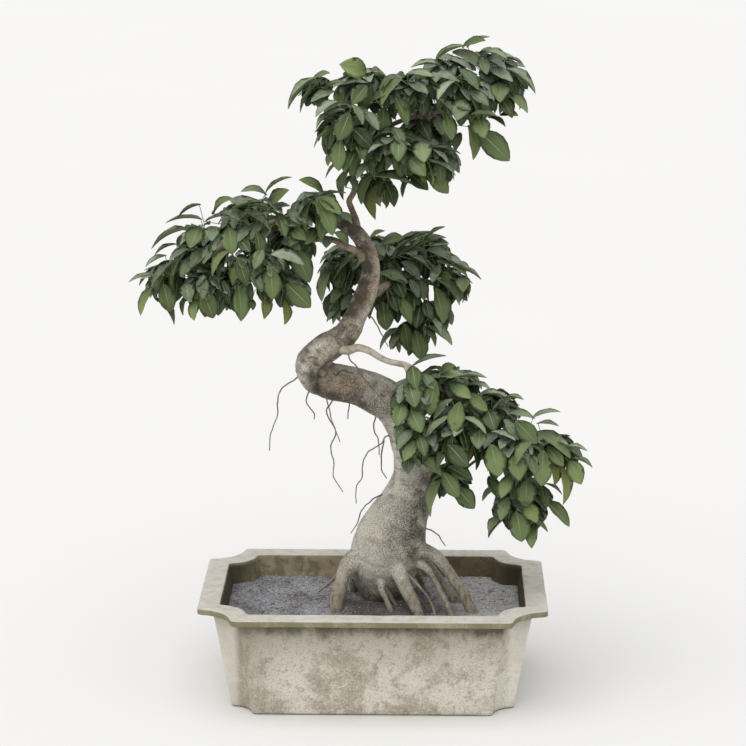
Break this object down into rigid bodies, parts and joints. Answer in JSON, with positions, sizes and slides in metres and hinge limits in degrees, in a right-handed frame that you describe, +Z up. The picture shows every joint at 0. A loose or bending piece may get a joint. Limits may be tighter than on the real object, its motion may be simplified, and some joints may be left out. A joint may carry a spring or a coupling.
{
  "type": "bonsai tree in a pot",
  "caption": "S-shaped bonsai fig with arched surface roots and leafy pads, growing in a rectangular stone planter with hollow corners.",
  "frame": {"origin": "middle of the pot's flat bottom", "axes": "+Z up, +X along the pot's long side towards the tree's lowest branch, -Y the tree's front"},
  "size_m": [0.6453, 0.35, 0.9505],
  "materials": {
    "cast_stone": "matte",
    "soil": "matte",
    "screen_mesh": "matte",
    "trunk_bark": "matte",
    "branch_bark": "matte",
    "aerial_root_skin": "matte",
    "leaf": "satin"
  },
  "bodies": {
    "root": {"aerial_root_behind": "aerial_root_skin", "aerial_root_bridge": "aerial_root_skin", "aerial_root_forked": "aerial_root_skin", "aerial_root_knee_front": "aerial_root_skin", "aerial_root_knee_left": "aerial_root_skin", "aerial_root_knee_short": "aerial_root_skin", "aerial_root_long": "aerial_root_skin", "aerial_root_middle": "aerial_root_skin", "aerial_root_right": "aerial_root_skin", "aerial_root_slope": "aerial_root_skin", "aerial_root_stub": "aerial_root_skin", "branch_back": "branch_bark", "branch_left": "branch_bark", "branch_right": "branch_bark", "branch_top": "branch_bark", "drain_screen_left": "screen_mesh", "drain_screen_right": "screen_mesh", "leaves_back_1": "leaf", "leaves_back_2": "leaf", "leaves_back_3": "leaf", "leaves_back_4": "leaf", "leaves_back_5": "leaf", "leaves_back_6": "leaf", "leaves_back_7": "leaf", "leaves_back_8": "leaf", "leaves_left_1": "leaf", "leaves_left_2": "leaf", "leaves_left_3": "leaf", "leaves_left_4": "leaf", "leaves_left_5": "leaf", "leaves_left_6": "leaf", "leaves_left_7": "leaf", "leaves_left_8": "leaf", "leaves_right_1": "leaf", "leaves_right_2": "leaf", "leaves_right_3": "leaf", "leaves_right_4": "leaf", "leaves_right_5": "leaf", "leaves_right_6": "leaf", "leaves_right_7": "leaf", "leaves_right_8": "leaf", "leaves_right_9": "leaf", "leaves_top_1": "leaf", "leaves_top_10": "leaf", "leaves_top_11": "leaf", "leaves_top_2": "leaf", "leaves_top_3": "leaf", "leaves_top_4": "leaf", "leaves_top_5": "leaf", "leaves_top_6": "leaf", "leaves_top_7": "leaf", "leaves_top_8": "leaf", "leaves_top_9": "leaf", "pot": "cast_stone", "soil": "soil", "trunk": "trunk_bark"}
  },
  "joints": []
}
